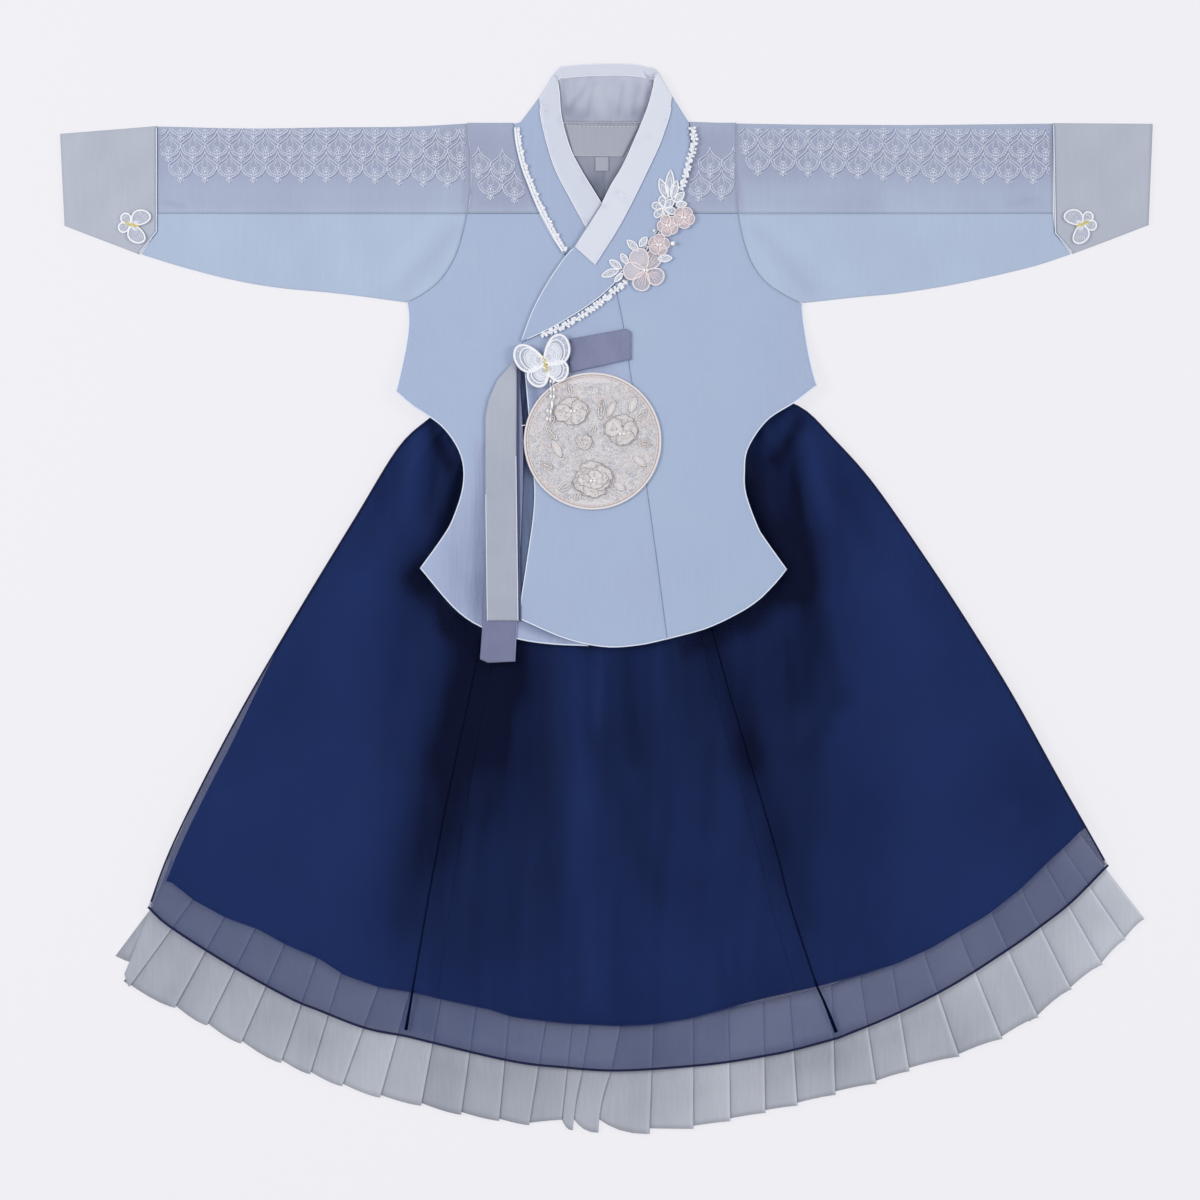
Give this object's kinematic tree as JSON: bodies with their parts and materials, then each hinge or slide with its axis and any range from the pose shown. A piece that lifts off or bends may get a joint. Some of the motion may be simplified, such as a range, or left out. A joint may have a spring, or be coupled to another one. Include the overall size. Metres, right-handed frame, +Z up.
{
  "type": "korean hanbok",
  "caption": "Child's hanbok laid flat: a pale blue dangui jacket with embroidered roundel, appliqued collar and ribbon ties over a navy organza skirt with a pale pleated ruffle.",
  "frame": {"origin": "on the floor under the middle of the garment's bounding box", "axes": "+Z up out of the garment's front, +X towards the sleeve at the viewer's right (longest extent, wrist to wrist), +Y towards the collar"},
  "size_m": [0.8188, 0.8018, 0.0178],
  "materials": {
    "blue_cloth": "matte plain-woven jacket cloth, pale powder blue",
    "lavender_cloth": "matte plain-woven cloth, pale lavender blue",
    "grey_cloth": "matte plain-woven cloth, cool light grey",
    "white_satin": "soft satin, white",
    "neck_lining": "thin smooth lining, pale grey",
    "purple_cloth": "matte plain-woven cloth, greyed purple",
    "navy_organza": "sheer crisp organza, deep navy",
    "navy_lining": "smooth lining, dark navy",
    "ruffle_cloth": "matte plain-woven cloth, pale grey, in knife pleats",
    "cream_embroidery": "raised thread embroidery, cream",
    "pink_petal": "thin sheer petal cloth, pale pink",
    "white_lace": "corded lace and thread, white"
  },
  "bodies": {
    "root": {"skirt_front_left": "navy_organza", "skirt_front_centre": "navy_organza", "skirt_front_right": "navy_organza", "skirt_back_organza": "navy_organza", "skirt_front_lining": "navy_lining", "skirt_back_lining": "navy_lining", "waistband": "navy_lining", "ruffle_front": "ruffle_cloth", "ruffle_back": "ruffle_cloth", "jacket_back": "blue_cloth", "inner_front": "blue_cloth", "overlap_panel": "blue_cloth", "outer_front": "blue_cloth", "collar_back": "blue_cloth", "collar_inner": "blue_cloth", "collar_outer": "blue_cloth", "sleeve_left_lower": "blue_cloth", "sleeve_right_lower": "blue_cloth", "shoulder_left": "lavender_cloth", "shoulder_right": "lavender_cloth", "sleeve_left_upper": "lavender_cloth", "sleeve_right_upper": "lavender_cloth", "cuff_left": "grey_cloth", "cuff_right": "grey_cloth", "tie_grey": "grey_cloth", "collar_lining": "neck_lining", "neck_lining": "neck_lining", "white_band_left": "white_satin", "white_band_right": "white_satin", "label": "white_satin", "size_tab": "white_satin", "tie_purple_long": "purple_cloth", "tie_loop": "purple_cloth", "roundel": "cream_embroidery", "roundel_cord": "cream_embroidery", "roundel_flower_1": "cream_embroidery", "roundel_flower_2": "cream_embroidery", "roundel_flower_3": "cream_embroidery", "roundel_flower_4": "cream_embroidery", "lace_left": "white_lace", "lace_right": "white_lace", "lace_lower": "white_lace", "leaf_spray_upper": "white_lace", "leaf_spray_lower": "white_lace", "brooch_butterfly": "white_lace", "cuff_butterfly_left": "white_lace", "cuff_butterfly_right": "white_lace", "flower_white": "white_lace", "flower_large": "pink_petal", "flower_pink_low": "pink_petal", "flower_pink_mid": "pink_petal", "flower_pink_high": "pink_petal"}
  },
  "joints": []
}
